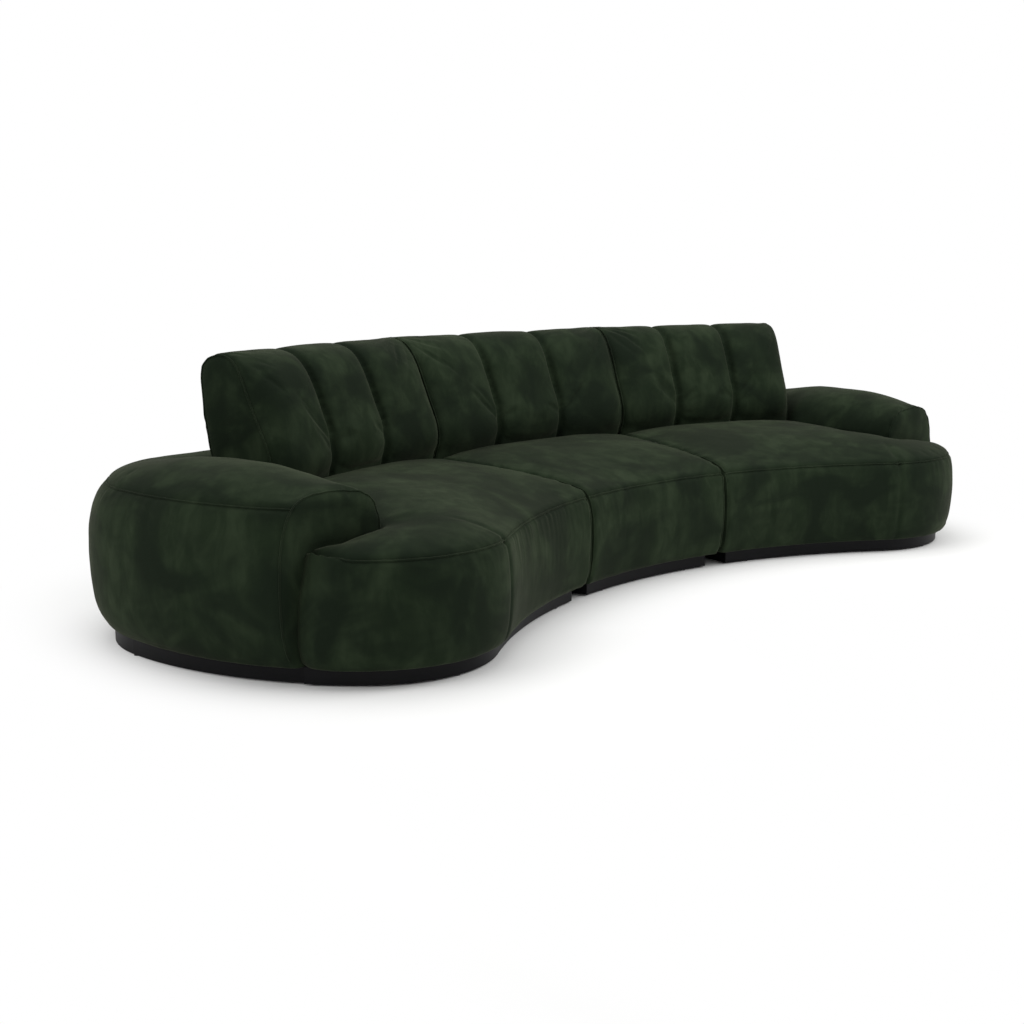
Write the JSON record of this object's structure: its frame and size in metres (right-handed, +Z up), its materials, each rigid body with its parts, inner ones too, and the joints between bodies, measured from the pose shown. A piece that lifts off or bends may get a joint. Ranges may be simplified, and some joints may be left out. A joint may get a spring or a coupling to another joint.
{
  "type": "sectional sofa",
  "caption": "Low curved sectional sofa in dark green velvet with wrap-round arms, channelled backrests and a recessed black plinth; its modules pull apart at hidden floor-level catches.",
  "frame": {"origin": "on the floor under the middle of the sofa's box", "axes": "+X along the sofa, to the right as seen by someone facing its front; +Y from the front to the rear; +Z up"},
  "size_m": [3.5604, 1.4243, 0.812],
  "materials": {
    "velvet": "dark green velvet with a soft nap",
    "timber": "planed softwood",
    "plywood": "raw birch plywood",
    "black_plinth": "satin black lacquer",
    "glide_plastic": "moulded, matte",
    "webbing": "woven elastic",
    "dust_cloth": "black non-woven cloth",
    "black_steel": "black powder coat",
    "zinc": "zinc plated"
  },
  "bodies": {
    "center": {"seat_center": "velvet", "back_center": "velvet", "frame_center": "timber", "webbing_center": "webbing", "dust_cover_center": "dust_cloth", "back_panel_center": "plywood", "back_bolts_center": "zinc", "glides_center": "glide_plastic", "plinth_center": "black_plinth", "rear_bolster": "velvet", "bolster_frame": "plywood", "clips_left": "black_steel", "clip_screws_left": "zinc", "clips_right": "black_steel", "clip_screws_right": "zinc"},
    "left": {"seat_left": "velvet", "back_left": "velvet", "frame_left": "timber", "webbing_left": "webbing", "dust_cover_left": "dust_cloth", "back_panel_left": "plywood", "back_bolts_left": "zinc", "glides_left": "glide_plastic", "plinth_seat_left": "black_plinth", "plinth_arm_left": "black_plinth", "arm_left": "velvet", "arm_frame_left": "plywood", "arm_bolts_left": "zinc", "tongues_left": "black_steel", "tongue_screws_left": "zinc"},
    "right": {"seat_right": "velvet", "back_right": "velvet", "frame_right": "timber", "webbing_right": "webbing", "dust_cover_right": "dust_cloth", "back_panel_right": "plywood", "back_bolts_right": "zinc", "glides_right": "glide_plastic", "plinth_seat_right": "black_plinth", "plinth_arm_right": "black_plinth", "arm_right": "velvet", "arm_frame_right": "plywood", "arm_bolts_right": "zinc", "tongues_right": "black_steel", "tongue_screws_right": "zinc"}
  },
  "joints": [
    {"name": "left_module_slide", "type": "slide", "parent": "center", "child": "left", "axis": [-0.9781, -0.2079, 0], "range_m": [0, 0.3]},
    {"name": "right_module_slide", "type": "slide", "parent": "center", "child": "right", "axis": [0.9781, -0.2079, 0], "range_m": [0, 0.3]}
  ]
}
